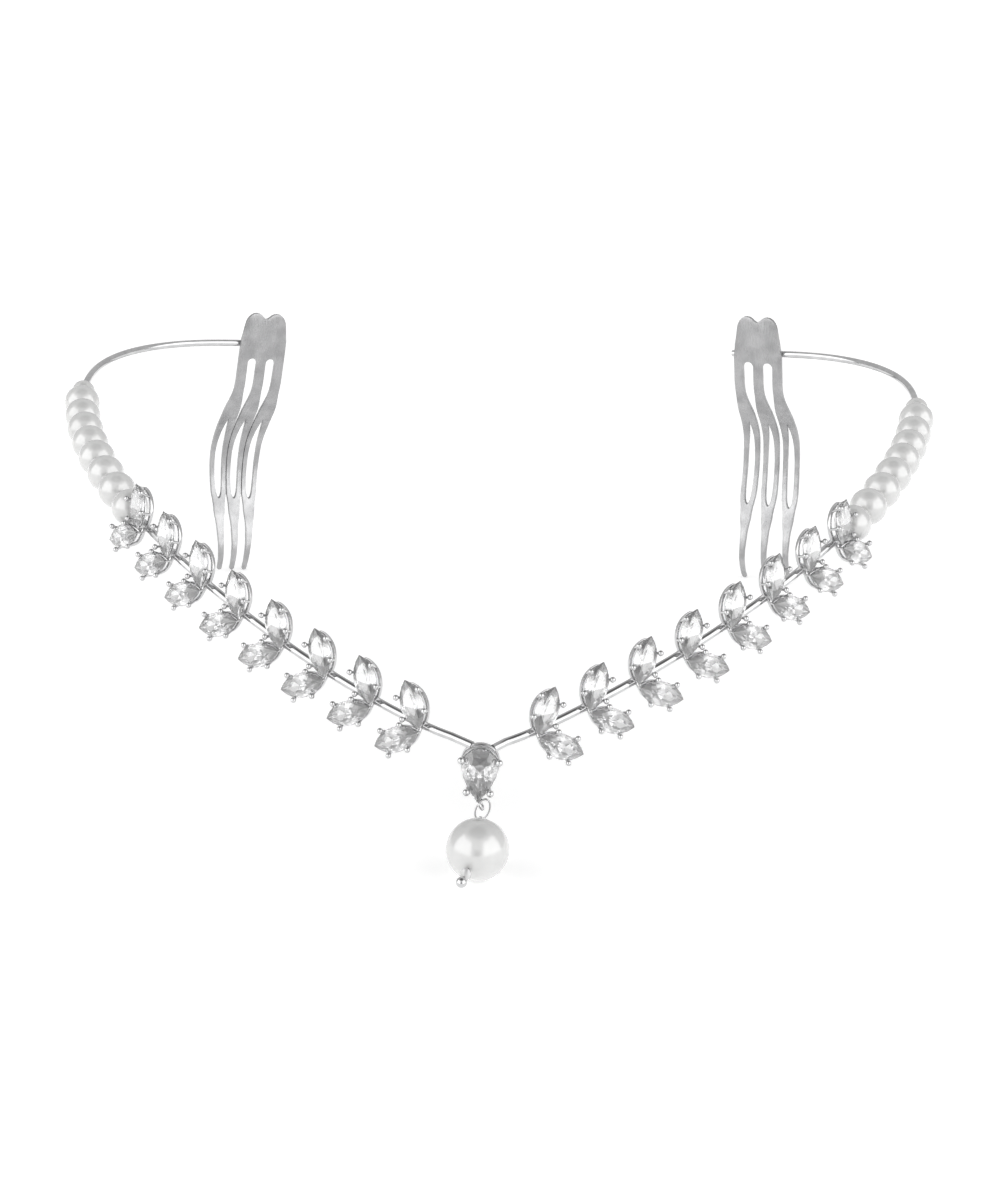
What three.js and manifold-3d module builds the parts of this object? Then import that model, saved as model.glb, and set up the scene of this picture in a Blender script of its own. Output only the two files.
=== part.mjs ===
// Tiara: a wire with leaf pairs of marquise stones, bead strings, two hair combs and a drop.
// Millimetres, +Z up, the front faces -Y. It stands on its comb tips and on the drop's bead.
import * as THREE from 'three';
import { ConvexGeometry } from 'three/addons/geometries/ConvexGeometry.js';
import { mergeVertices } from 'three/addons/utils/BufferGeometryUtils.js';
import Module from 'manifold-3d';

const wasm = await Module();
wasm.setup();

// Where the middle of the wire's front stands
const frontY = -62;
const frontHeight = 16.3;

// Half of the wire's route: distance from the front, heading seen from above, rise, in degrees
const route = [
  { along: 0, heading: 22, rise: 7 },
  { along: 10, heading: 33, rise: 12 },
  { along: 28, heading: 34, rise: 17 },
  { along: 46, heading: 40.5, rise: 18 },
  { along: 64, heading: 49, rise: 16.5 },
  { along: 84, heading: 60.5, rise: 13.5 },
  { along: 104, heading: 71.5, rise: 9.5 },
  { along: 126, heading: 86, rise: 9 },
  { along: 150, heading: 124, rise: -0.4 },
  { along: 168, heading: 150, rise: -4.9 },
  { along: 182, heading: 154, rise: -6 },
];
const routeStep = 0.5;
const wireStart = 4.2;
const wireEnd = 179.2;
const wireRadius = 0.62;
const wireSides = 6;
const wireSteps = 40;

// The left half of the wire is bent a little higher near the front
const leftLift = 0.9;
const leftLiftEnd = 34;

// Leaf pairs, counted from the front
const pairCount = 8;
const firstPair = 9.3;
const pairPitch = 8.81;
const marquise = { length: 7.3, width: 3.7, table: 0.55, crown: 0.6, pavilion: 1.5 };

// Each leaf's centre from the wire and its turn: back along the wire, outward, up, in degrees
const leaves = [
  { name: 'upper', back: 1.5, out: 1.15, up: 2.9, lift: 46.8, lean: -13, roll: -13 },
  { name: 'lower', back: 2, out: 2.85, up: -2.45, lift: -36.9, lean: 11.3, roll: -3 },
];

// Open settings: a rail under the stone and four prongs with ball tips
const leafSides = 4;
const leafStoneSides = 5;
const leafSetting = {
  rails: [{ length: 6.7, width: 3.5, wall: 0.48, top: -1.3, bottom: -1.95 }],
  prongs: [
    { ball: [1.6, 1.85], foot: [1.4, 1.18] },
    { ball: [-1.6, 1.85], foot: [-1.4, 1.18] },
  ],
  prongRadius: 0.21,
  ballRadius: 0.42,
  ballHeight: 0.6,
};
const postRadius = 0.42;
const prongSides = 4;
const ballStart = 0.8;
const footSink = 0.1;

// The pear stone under the front, point down, with its two rails
const pear = { length: 8, width: 5.15, table: 0.52, crown: 0.8, pavilion: 1.9 };
const pearSides = 12;
const pearFullness = 0.77;
const pearCentre = { x: 0.3, forward: 2, below: 3.04 };
const pearTilt = 2.5;
const pearSetting = {
  rails: [
    { length: 7.9, width: 5.2, wall: 0.45, top: -0.8, bottom: -1.25 },
    { length: 8.4, width: 5.6, wall: 0.52, top: -1.6, bottom: -2.3 },
  ],
  prongs: [
    { ball: [-2.35, 2.65], foot: [-2.1, 2.42] },
    { ball: [2.35, 1.68], foot: [2, 1.35] },
  ],
  prongRadius: 0.26,
  ballRadius: 0.52,
  ballHeight: 0.6,
};

// Where the wire's two arms meet the pear's rear rail: toward its round end and across
const armSeats = { left: { back: 3.7, across: -1.25 }, right: { back: 3.4, across: 1.65 } };
const lug = { x: 0.45, forward: 1.2, below: 7.65, radius: 0.75, wire: 0.25, turn: 30, solder: 0.55 };

// Bead strings on the wire, from the leaves to the small end bead
const beadCount = 8;
const beadRadius = 2.95;
const beadPitch = 5.9;
const lastBead = 118.3;
const endBeadRadius = 1.95;
const beadSides = 10;
const beadRings = 5;
const neckRadius = 1.1;
const boreRadius = 0.82;

// The drop: its bead lies on the table, the head pin comes out forward and down
const dropRadius = 4.4;
const dropCentre = { x: 0.35, forward: 6.95 };
const pinDirection = new THREE.Vector3(-0.27, -0.925, -0.265).normalize();
const pinRadius = 0.16;
const pinBoreRadius = 0.34;
const tipBeadRadius = 0.85;
const pinBallRadius = 0.78;
const clearance = 0.12;
const loopRadius = 0.82;
const loopPlaceFromHole = new THREE.Vector3(-0.87, 1.37, 0.35);
const jumpRing = {
  x: 0.8,
  forward: 1.3,
  below: 8.4,
  long: 1.65,
  wide: 0.925,
  tilt: 21.4,
  wire: 0.12,
  bends: 18,
  sides: 5,
};

// Hair combs: heights from a line across the foot of the plate
const crotch = -1.2;
const neckWidth = 1.9;
const comb = {
  thickness: 0.7,
  notch: 6.65,
  tipWidth: 0.9,
  tipRound: 0.6,
  gapBends: 4,
  margin: 1,
  bowStart: -5,
  bends: 10,
  kickLength: 7,
};

// Right half of the plate's outline, from its widest place up to the notch
const plateHalf = [
  [4.3, 3.7],
  [4.05, 5.7],
  [3.6, 6.8],
  [2.9, 7.45],
  [2, 7.7],
  [1.2, 7.45],
  [0.5, 6.9],
];

// Widths of a tooth down its height
const toothWidths = [
  [crotch, neckWidth],
  [-7, 1.95],
  [-13, 3.2],
  [-17, 3.35],
  [-29, 3.35],
  [-33.3, 2.3],
  [-37, 1.4],
  [-40.5, 1.1],
];

// Half widths of the opening in a tooth
const slitWidths = [[-15, 0.08], [-18, 0.5], [-22, 0.72], [-28, 0.72], [-30.5, 0.45], [-31.3, 0.1]];

// The two combs are bent by hand: their places on the wire, turns, bows and the teeth's pitches
const pitchHeights = [crotch, -10, -22, -34];
const combs = [
  {
    name: 'left',
    side: -1,
    at: 175.9,
    below: 1.55,
    lean: 5.4,
    splay: 7.1,
    bow: 7.3,
    bowHeight: -22.9,
    kick: 1.1,
    pitches: [3.65, 3.6, 3.45, 3.1],
    tipPitch: 2.6,
  },
  {
    name: 'right',
    side: 1,
    at: 173.5,
    below: 0.3,
    lean: 5.2,
    splay: 2.4,
    bow: 6.05,
    bowHeight: -19.2,
    kick: 2.3,
    pitches: [3.9, 3.85, 4.15, 4.45],
    tipPitch: 4.7,
  },
];
const combGap = 0.2;

const metalMaterial = new THREE.MeshStandardMaterial({ color: 0xd9dadc, roughness: 0.12, metalness: 1 });
const combMaterial = new THREE.MeshStandardMaterial({ color: 0xb4b5b8, roughness: 0.3, metalness: 1 });
const stoneMaterial = new THREE.MeshStandardMaterial({ color: 0xf4f6f8, roughness: 0.05, metalness: 0 });
const pearlMaterial = new THREE.MeshStandardMaterial({ color: 0xf1f0ee, roughness: 0.25, metalness: 0 });
const clearMaterial = new THREE.MeshStandardMaterial({ color: 0xe9e9e9, roughness: 0.1, metalness: 0 });

const group = new THREE.Group();

function addMesh(name, geometry, material, matrix) {
  const mesh = new THREE.Mesh(geometry, material);
  mesh.name = name;
  if (matrix) {
    matrix.decompose(mesh.position, mesh.quaternion, mesh.scale);
  }
  group.add(mesh);
}

// Solids

function toSolid(geometry) {
  const bare = geometry.clone();
  bare.deleteAttribute('normal');
  bare.deleteAttribute('uv');
  const merged = mergeVertices(bare.index ? bare.toNonIndexed() : bare, 1e-4);
  const mesh = new wasm.Mesh({
    numProp: 3,
    vertProperties: new Float32Array(merged.attributes.position.array),
    triVerts: new Uint32Array(merged.index.array),
  });
  return new wasm.Manifold(mesh);
}

function toGeometry(solid) {
  const mesh = solid.getMesh();
  const geometry = new THREE.BufferGeometry();
  geometry.setAttribute('position', new THREE.BufferAttribute(mesh.vertProperties, 3));
  geometry.setIndex(new THREE.BufferAttribute(mesh.triVerts, 1));
  return geometry;
}

function joined(solids) {
  return solids.reduce((whole, piece) => whole.add(piece));
}

// The same shape on the other side of the head
function mirrored(geometry) {
  const flipped = geometry.clone().scale(-1, 1, 1);
  const index = flipped.index;
  for (let i = 0; i < index.count; i += 3) {
    const second = index.getX(i + 1);
    index.setX(i + 1, index.getX(i + 2));
    index.setX(i + 2, second);
  }
  return flipped;
}

// Route of the wire

function routeValue(key, along) {
  let i = 0;
  while (i < route.length - 2 && along > route[i + 1].along) {
    i += 1;
  }
  const slope = (j) => {
    const before = route[Math.max(j - 1, 0)];
    const after = route[Math.min(j + 1, route.length - 1)];
    return (after[key] - before[key]) / (after.along - before.along);
  };
  const span = route[i + 1].along - route[i].along;
  const t = (along - route[i].along) / span;
  const start = route[i][key];
  const end = route[i + 1][key];
  return start * (2 * t ** 3 - 3 * t ** 2 + 1) + end * (3 * t ** 2 - 2 * t ** 3)
    + slope(i) * span * (t ** 3 - 2 * t ** 2 + t) + slope(i + 1) * span * (t ** 3 - t ** 2);
}

function routeDirection(along) {
  const heading = THREE.MathUtils.degToRad(routeValue('heading', along));
  const rise = THREE.MathUtils.degToRad(routeValue('rise', along));
  const level = Math.cos(rise);
  return new THREE.Vector3(level * Math.cos(heading), level * Math.sin(heading), Math.sin(rise));
}

const routePoints = [new THREE.Vector3(0, frontY, frontHeight)];
for (let along = routeStep / 2; along < wireEnd + routeStep; along += routeStep) {
  const last = routePoints[routePoints.length - 1];
  routePoints.push(last.clone().addScaledVector(routeDirection(along), routeStep));
}

// Place and axes on the wire: back along it, outward from the head, and up
function onWire(along) {
  const i = Math.min(Math.floor(along / routeStep), routePoints.length - 2);
  const place = routePoints[i].clone().lerp(routePoints[i + 1], along / routeStep - i);
  const back = routeDirection(along);
  const heading = THREE.MathUtils.degToRad(routeValue('heading', along));
  const level = new THREE.Vector3(Math.sin(heading), -Math.cos(heading), 0);
  const up = new THREE.Vector3().crossVectors(level, back).normalize();
  const out = new THREE.Vector3().crossVectors(back, up);
  return { place, back, out, up };
}

function otherSide(vector) {
  return new THREE.Vector3(-vector.x, vector.y, vector.z);
}

// Place on the right (1) or left (-1) half of the wire
function wirePlace(along, side) {
  const { place } = onWire(along);
  if (side > 0) {
    return place;
  }
  place.z += leftLift * Math.max(0, 1 - along / leftLiftEnd) ** 2;
  return otherSide(place);
}

// Plain shapes

function regularShape(radius, sides) {
  const shape = new THREE.Shape();
  for (let i = 0; i < sides; i += 1) {
    const angle = (2 * Math.PI * (i + 0.5)) / sides;
    const method = i === 0 ? 'moveTo' : 'lineTo';
    shape[method](radius * Math.cos(angle), radius * Math.sin(angle));
  }
  shape.closePath();
  return shape;
}

function tube(points, radius, sides, steps) {
  const path = new THREE.CatmullRomCurve3(points, false, 'centripetal');
  const settings = { steps, extrudePath: path, bevelEnabled: false };
  return new THREE.ExtrudeGeometry(regularShape(radius, sides), settings);
}

function rod(start, end, radius, sides) {
  const axis = end.clone().sub(start);
  const geometry = new THREE.CylinderGeometry(radius, radius, axis.length(), sides);
  const up = new THREE.Vector3(0, 1, 0);
  geometry.applyQuaternion(new THREE.Quaternion().setFromUnitVectors(up, axis.clone().normalize()));
  return geometry.translate(...start.clone().lerp(end, 0.5).toArray());
}

function outlineShape(outline) {
  return new THREE.Shape(outline.map(([x, y]) => new THREE.Vector2(x, y)));
}

// Marquise outline: two equal arcs that meet in points
function marquiseOutline(length, width, perSide) {
  const radius = (length ** 2 + width ** 2) / (4 * width);
  const half = Math.asin(length / 2 / radius);
  const outline = [];
  for (const side of [1, -1]) {
    for (let i = 0; i < perSide; i += 1) {
      const angle = side * half * (1 - (2 * i) / perSide);
      outline.push([radius * Math.sin(angle), side * (radius * Math.cos(angle) - radius + width / 2)]);
    }
  }
  return outline;
}

// Pear outline: round at one end, a point at +x
function pearOutline(length, width, sides) {
  const outline = [];
  for (let i = 0; i < sides; i += 1) {
    const angle = (2 * Math.PI * i) / sides;
    const half = (width / 2 / pearFullness) * Math.sin(angle) * Math.sin(angle / 2);
    outline.push([(length / 2) * Math.cos(angle), half]);
  }
  return outline;
}

// Prong with a ball tip
function prong(base, tip, radius, ballRadius) {
  const axis = tip.clone().sub(base);
  const length = axis.length();
  const profile = [
    [0, 0],
    [radius, 0],
    [radius, length - ballStart * ballRadius],
    [ballRadius, length],
    [0, length + ballRadius],
  ];
  const geometry = new THREE.LatheGeometry(profile.map(([x, y]) => new THREE.Vector2(x, y)), prongSides);
  const up = new THREE.Vector3(0, 1, 0);
  geometry.applyQuaternion(new THREE.Quaternion().setFromUnitVectors(up, axis.normalize()));
  return geometry.translate(...base.toArray());
}

// Bead with a bore, its axis along y: a half circle that closes on the bore
function boredBead(radius, bore, sides, rings) {
  const open = Math.asin(bore / radius);
  const profile = [];
  for (let i = 0; i <= rings; i += 1) {
    const angle = open + ((Math.PI - 2 * open) * i) / rings;
    profile.push(new THREE.Vector2(radius * Math.sin(angle), -radius * Math.cos(angle)));
  }
  profile.push(profile[0].clone());
  return new THREE.LatheGeometry(profile, sides);
}

// Closed body through a loop of rings that each have the same number of points
function ringLoop(rings) {
  const count = rings[0].length;
  const positions = rings.flat().flatMap((point) => point.toArray());
  const index = [];
  for (let i = 0; i < rings.length; i += 1) {
    const next = (i + 1) % rings.length;
    for (let j = 0; j < count; j += 1) {
      const a = i * count + j;
      const b = i * count + ((j + 1) % count);
      const c = next * count + ((j + 1) % count);
      const d = next * count + j;
      index.push(a, c, b, a, d, c);
    }
  }
  const geometry = new THREE.BufferGeometry();
  geometry.setAttribute('position', new THREE.Float32BufferAttribute(positions, 3));
  return geometry.setIndex(index);
}

// Height of the middle of a setting's rear rail
function railMiddle(setting) {
  const { top, bottom } = setting.rails[setting.rails.length - 1];
  return (top + bottom) / 2;
}

// Cut stone: table, sloped crown facets, girdle edge and pavilion facets to a point
function cutStone(outline, cut) {
  const points = [new THREE.Vector3(0, 0, -cut.pavilion)];
  for (const [x, y] of outline) {
    points.push(new THREE.Vector3(x, y, 0));
    points.push(new THREE.Vector3(x * cut.table, y * cut.table, cut.crown));
  }
  return new ConvexGeometry(points);
}

// Open setting in the stone's own axes: point along +x, table toward +z
function settingParts(outlineOf, setting) {
  const parts = [];
  for (const { length, width, wall, top, bottom } of setting.rails) {
    const shape = outlineShape(outlineOf(length, width));
    shape.holes.push(outlineShape(outlineOf(length - 3 * wall, width - 2 * wall)));
    const rail = new THREE.ExtrudeGeometry(shape, { depth: top - bottom, bevelEnabled: false });
    parts.push(rail.translate(0, 0, bottom));
  }
  const footHeight = railMiddle(setting) - footSink;
  for (const { ball, foot } of setting.prongs) {
    for (const side of [1, -1]) {
      const tip = new THREE.Vector3(ball[0], side * ball[1], setting.ballHeight);
      const base = new THREE.Vector3(foot[0], side * foot[1], footHeight);
      parts.push(prong(base, tip, setting.prongRadius, setting.ballRadius));
    }
  }
  return parts.map(toSolid);
}

// Leaf stones and settings

const leafOutline = (length, width) => marquiseOutline(length, width, leafSides);
const leafSettingSolid = joined(settingParts(leafOutline, leafSetting));
const leafStone = cutStone(marquiseOutline(marquise.length, marquise.width, leafStoneSides), marquise);

// Matrix that carries the stone's own axes to its place on the wire
function leafMatrix(along, leaf, side) {
  const { back, out, up } = onWire(along);
  const lift = THREE.MathUtils.degToRad(leaf.lift);
  const lean = THREE.MathUtils.degToRad(leaf.lean);
  const roll = THREE.MathUtils.degToRad(leaf.roll);
  const point = back.clone().multiplyScalar(Math.cos(lean) * Math.cos(lift));
  point.addScaledVector(up, Math.cos(lean) * Math.sin(lift)).addScaledVector(out, Math.sin(lean));
  const face = out.clone().addScaledVector(point, -out.dot(point)).normalize();
  face.applyAxisAngle(point, roll);
  const offset = back.clone().multiplyScalar(leaf.back);
  offset.addScaledVector(out, leaf.out).addScaledVector(up, leaf.up);
  const basis = side > 0 ? [point, face, offset] : [point, face, offset].map(otherSide);
  const across = new THREE.Vector3().crossVectors(basis[1], basis[0]);
  const centre = wirePlace(along, side).add(basis[2]);
  return new THREE.Matrix4().makeBasis(basis[0], across, basis[1]).setPosition(centre);
}

function transformed(solid, matrix) {
  return solid.transform(matrix.elements);
}

const metal = [];
const sides = [{ name: 'left', side: -1 }, { name: 'right', side: 1 }];
for (const { name, side } of sides) {
  for (let pair = 0; pair < pairCount; pair += 1) {
    const along = firstPair + pair * pairPitch;
    for (const leaf of leaves) {
      const matrix = leafMatrix(along, leaf, side);
      addMesh(`${name}_${leaf.name}_stone_${pair + 1}`, leafStone, stoneMaterial, matrix);
      metal.push(transformed(leafSettingSolid, matrix));
      const { length, wall } = leafSetting.rails[0];
      const seat = new THREE.Vector3(wall - length / 2, 0, railMiddle(leafSetting)).applyMatrix4(matrix);
      metal.push(toSolid(rod(wirePlace(along, side), seat, postRadius, prongSides)));
    }
  }
}

// Front setting with the pear stone and the lug under its point

const tilt = THREE.MathUtils.degToRad(pearTilt);
const pearPoint = new THREE.Vector3(-Math.sin(tilt), 0, -Math.cos(tilt));
const pearFace = new THREE.Vector3(0, -1, 0);
const pearAcross = new THREE.Vector3().crossVectors(pearFace, pearPoint);
const pearMatrix = new THREE.Matrix4().makeBasis(pearPoint, pearAcross, pearFace);
pearMatrix.setPosition(pearCentre.x, frontY - pearCentre.forward, frontHeight - pearCentre.below);
const pearStone = cutStone(pearOutline(pear.length, pear.width, pearSides), pear);
addMesh('pear_stone', pearStone, stoneMaterial, pearMatrix);
const pearRailOutline = (length, width) => pearOutline(length, width, pearSides);
metal.push(...settingParts(pearRailOutline, pearSetting).map((part) => transformed(part, pearMatrix)));

const lugPlace = new THREE.Vector3(lug.x, frontY - lug.forward, frontHeight - lug.below);
const lugTurn = Math.PI / 2 - THREE.MathUtils.degToRad(lug.turn);
const lugRing = new THREE.TorusGeometry(lug.radius, lug.wire, wireSides, 10).rotateY(lugTurn);
metal.push(toSolid(lugRing.translate(...lugPlace.toArray())));
const railTip = new THREE.Vector3(pear.length / 2 - lug.solder, 0, railMiddle(pearSetting));
const lugTop = lugPlace.clone().add(new THREE.Vector3(0, 0, lug.radius));
metal.push(toSolid(rod(railTip.applyMatrix4(pearMatrix), lugTop, lug.wire, wireSides)));

// Two halves of the wire, from a comb to the pear's rear rail
for (const { name, side } of sides) {
  const { back, across } = armSeats[name];
  const points = [new THREE.Vector3(-back, across, railMiddle(pearSetting)).applyMatrix4(pearMatrix)];
  const spans = wireSteps - 2;
  for (let i = 0; i <= spans; i += 1) {
    points.push(wirePlace(wireStart + ((wireEnd - wireStart) * i) / spans, side));
  }
  metal.push(toSolid(tube(points, wireRadius, wireSides, wireSteps)));
}
addMesh('wire_and_settings', toGeometry(joined(metal)), metalMaterial);

// Bead strings

// Ring of points round the wire
function wireRing(along, radius) {
  const { place, out, up } = onWire(along);
  const ring = [];
  for (let i = 0; i < beadSides; i += 1) {
    const angle = (2 * Math.PI * i) / beadSides;
    const point = place.clone().addScaledVector(out, radius * Math.cos(angle));
    ring.push(point.addScaledVector(up, radius * Math.sin(angle)));
  }
  return ring;
}

function beadString() {
  const beads = [];
  for (let bead = beadCount - 1; bead >= 0; bead -= 1) {
    beads.push({ middle: lastBead - bead * beadPitch, radius: beadRadius });
  }
  beads.push({ middle: lastBead + beadRadius + endBeadRadius, radius: endBeadRadius });
  const outer = [];
  const bore = [];
  beads.forEach(({ middle, radius }, place) => {
    const open = Math.asin(neckRadius / radius);
    const first = place === 0 ? 0 : 1;
    for (let i = first; i <= beadRings; i += 1) {
      const angle = open + ((Math.PI - 2 * open) * i) / beadRings;
      outer.push(wireRing(middle - radius * Math.cos(angle), radius * Math.sin(angle)));
    }
    if (place === 0) {
      bore.push(wireRing(middle - radius * Math.cos(open), boreRadius));
    }
    bore.push(wireRing(middle + radius * Math.cos(open), boreRadius));
  });
  return ringLoop([...outer, ...bore.reverse()]);
}

const stringGeometry = beadString();
addMesh('right_bead_string', stringGeometry, pearlMaterial);
addMesh('left_bead_string', mirrored(stringGeometry), pearlMaterial);

// Drop: large bead, tip bead, head pin with its ball and loop, and the jump ring

const dropPlace = new THREE.Vector3(dropCentre.x, frontY - dropCentre.forward, dropRadius);
const alongPin = (distance) => dropPlace.clone().addScaledVector(pinDirection, distance);
const pinTurn = new THREE.Quaternion().setFromUnitVectors(new THREE.Vector3(0, 1, 0), pinDirection);

function onPin(geometry, distance) {
  return geometry.applyQuaternion(pinTurn).translate(...alongPin(distance).toArray());
}

const tipBeadAt = dropRadius + clearance + tipBeadRadius;
const pinBallAt = tipBeadAt + tipBeadRadius + clearance + pinBallRadius;
const holeAt = -(dropRadius + clearance);
addMesh('drop_bead', onPin(boredBead(dropRadius, pinBoreRadius, 14, 9), 0), pearlMaterial);
addMesh('tip_bead', onPin(boredBead(tipBeadRadius, pinBoreRadius, 10, 6), tipBeadAt), clearMaterial);

const loopPlace = alongPin(holeAt).add(loopPlaceFromHole);
const loopNeck = loopPlaceFromHole.clone().normalize();
const loopSide = new THREE.Vector3(1, 0, 0).addScaledVector(loopNeck, -loopNeck.x).normalize();
const loopTurn = new THREE.Quaternion().setFromUnitVectors(new THREE.Vector3(0, 0, 1), loopSide);
const loop = new THREE.TorusGeometry(loopRadius, pinRadius, 5, 14).applyQuaternion(loopTurn);
const pinParts = [
  rod(alongPin(holeAt), alongPin(pinBallAt), pinRadius, 6),
  rod(alongPin(holeAt), loopPlace.clone().addScaledVector(loopNeck, -loopRadius), pinRadius, 6),
  new THREE.SphereGeometry(pinBallRadius, 8, 6).translate(...alongPin(pinBallAt).toArray()),
  loop.translate(...loopPlace.toArray()),
];
addMesh('head_pin', toGeometry(joined(pinParts.map(toSolid))), metalMaterial);

// The jump ring hangs in the lug and holds the pin's loop
const ringMiddle = new THREE.Vector3(jumpRing.x, frontY - jumpRing.forward, frontHeight - jumpRing.below);
const ringTilt = THREE.MathUtils.degToRad(jumpRing.tilt);
const ringLong = new THREE.Vector3(Math.sin(ringTilt), 0, Math.cos(ringTilt)).multiplyScalar(jumpRing.long);
const ringWide = new THREE.Vector3(Math.cos(ringTilt), 0, -Math.sin(ringTilt));
ringWide.multiplyScalar(jumpRing.wide);
const forward = new THREE.Vector3(0, -1, 0);

// Ring of points round the jump ring's wire
function jumpRingSection(angle) {
  const point = ringMiddle.clone().addScaledVector(ringLong, Math.cos(angle));
  point.addScaledVector(ringWide, Math.sin(angle));
  const tangent = ringWide.clone().multiplyScalar(Math.cos(angle));
  tangent.addScaledVector(ringLong, -Math.sin(angle));
  const outward = new THREE.Vector3().crossVectors(tangent, forward).normalize();
  const section = [];
  for (let i = 0; i < jumpRing.sides; i += 1) {
    const turn = (2 * Math.PI * i) / jumpRing.sides;
    const rim = point.clone().addScaledVector(outward, jumpRing.wire * Math.cos(turn));
    section.push(rim.addScaledVector(forward, jumpRing.wire * Math.sin(turn)));
  }
  return section;
}

const ringSections = [];
for (let i = 0; i < jumpRing.bends; i += 1) {
  ringSections.push(jumpRingSection((2 * Math.PI * i) / jumpRing.bends));
}
addMesh('jump_ring', ringLoop(ringSections), metalMaterial);

// Hair combs

const teeth = [-1, 0, 1];

// Value at a height between [height, value] stops that run down from the top
function atHeight(stops, height) {
  const i = stops.findIndex(([stop], j) => j > 0 && height >= stop);
  const [upper, upperValue] = stops[i - 1];
  const [lower, lowerValue] = stops[i];
  return upperValue + ((lowerValue - upperValue) * (height - upper)) / (lower - upper);
}

// Length below the wire that lets the lowest corner of the comb's tips stand on the table
function combLength({ side, at, below, lean, splay, kick, tipPitch }) {
  const leanTurn = THREE.MathUtils.degToRad(lean);
  const splayTurn = THREE.MathUtils.degToRad(splay);
  const drop = wirePlace(at, side).z + (kick - comb.thickness) * Math.sin(leanTurn);
  const corner = (tipPitch + comb.tipWidth / 4) * Math.sin(splayTurn);
  return (drop / Math.cos(leanTurn) - corner) / Math.cos(splayTurn) - below;
}

// Left or right edge of a tooth, from its crotch to its tip
function toothEdge(bend, tooth, side) {
  const length = combLength(bend);
  const pitches = pitchHeights.map((height, i) => [height, bend.pitches[i]]);
  pitches.push([-length, bend.tipPitch]);
  const widths = [...toothWidths, [-length, comb.tipWidth]];
  const heights = toothWidths.slice(1).map(([height]) => height);
  heights.push(comb.tipRound - length);
  const edge = heights.map((height) => {
    const middle = tooth * atHeight(pitches, height);
    return [middle + (side * atHeight(widths, height)) / 2, height];
  });
  edge.push([tooth * bend.tipPitch + (side * comb.tipWidth) / 4, -length]);
  return edge;
}

// The teeth's edge from the left shoulder to the right one, with a round top to each gap
function teethEdge(bend) {
  const [pitch] = bend.pitches;
  const half = pitch + neckWidth / 2;
  const gap = (pitch - neckWidth) / 2;
  const edge = [[-half, 0]];
  for (const tooth of teeth) {
    edge.push(...toothEdge(bend, tooth, -1), ...toothEdge(bend, tooth, 1).reverse());
    for (let i = 0; tooth < 1 && i <= comb.gapBends; i += 1) {
      const angle = Math.PI * (1 - i / comb.gapBends);
      const middle = (tooth + 0.5) * pitch;
      edge.push([middle + gap * Math.cos(angle), crotch + gap * (Math.sin(angle) - 1)]);
    }
  }
  return [...edge, [half, 0]];
}

// Each tooth is open in its middle, between two strands
function slitOutline(bend, tooth) {
  const pitches = pitchHeights.map((height, i) => [height, bend.pitches[i]]);
  const sideOf = (side) => slitWidths.map(([height, half]) => {
    return [tooth * atHeight(pitches, height) + side * half, height];
  });
  return [...sideOf(1), ...sideOf(-1).reverse()];
}

function combShape(bend) {
  const mirror = plateHalf.map(([x, y]) => [-x, y]).reverse();
  const shape = outlineShape([...teethEdge(bend), ...plateHalf, [0, comb.notch], ...mirror]);
  for (const tooth of teeth) {
    shape.holes.push(outlineShape(slitOutline(bend, tooth)));
  }
  return shape;
}

// How far the comb's outer face stands away from its flat plate
function combBow({ bow, bowHeight, kick }, length, height) {
  if (height > comb.bowStart) {
    return 0;
  }
  const toTop = (comb.bowStart - height) / (comb.bowStart - bowHeight);
  const toTip = (bowHeight - height) / (length + bowHeight);
  if (height > bowHeight) {
    return bow * Math.sin((Math.PI / 2) * toTop) ** 2;
  }
  const kicked = Math.max(0, 1 - (length + height) / comb.kickLength);
  return bow * Math.cos((Math.PI / 2) * toTip) ** 2 + kick * kicked ** 2;
}

// The bent slab that the comb is cut from, its side view drawn as (bow, height)
function combSlab(bend) {
  const length = combLength(bend);
  const heights = [comb.notch + 2 * comb.margin, comb.bowStart];
  for (let i = 1; i <= comb.bends; i += 1) {
    heights.push(comb.bowStart - ((length + comb.bowStart) * i) / comb.bends);
  }
  heights.push(-length - comb.margin);
  const outer = heights.map((height) => [combBow(bend, length, Math.max(height, -length)), height]);
  const inner = outer.map(([bow, height]) => [bow - comb.thickness, height]).reverse();
  const depth = 2 * (bend.tipPitch + bend.pitches[0] + comb.margin);
  const side = outlineShape([...outer, ...inner]);
  const slab = new THREE.ExtrudeGeometry(side, { depth, bevelEnabled: false });
  return slab.rotateY(-Math.PI / 2).translate(depth / 2, 0, 0);
}

function combGeometry(bend) {
  const depth = bend.bow + bend.kick + comb.thickness + 2 * comb.margin;
  const cutter = new THREE.ExtrudeGeometry(combShape(bend), { depth, bevelEnabled: false });
  cutter.translate(0, 0, -comb.thickness - comb.margin);
  const flat = toGeometry(toSolid(combSlab(bend)).intersect(toSolid(cutter)));
  const { place, back, out } = onWire(bend.at);
  const level = new THREE.Vector3(out.x, out.y, 0).normalize();
  const across = new THREE.Vector3(back.x, back.y, 0).normalize();
  const up = new THREE.Vector3().crossVectors(level, across);
  const seat = place.clone().addScaledVector(level, -(wireRadius + combGap));
  flat.translate(0, -bend.below, 0);
  flat.rotateZ(-THREE.MathUtils.degToRad(bend.splay));
  flat.rotateX(-THREE.MathUtils.degToRad(bend.lean));
  flat.applyMatrix4(new THREE.Matrix4().makeBasis(across, up, level).setPosition(seat));
  return bend.side > 0 ? flat : mirrored(flat);
}

for (const bend of combs) {
  addMesh(`${bend.name}_comb`, combGeometry(bend), combMaterial);
}

export default group;
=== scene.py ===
import math

import bmesh
import bpy
from mathutils import Matrix, Vector


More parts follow.
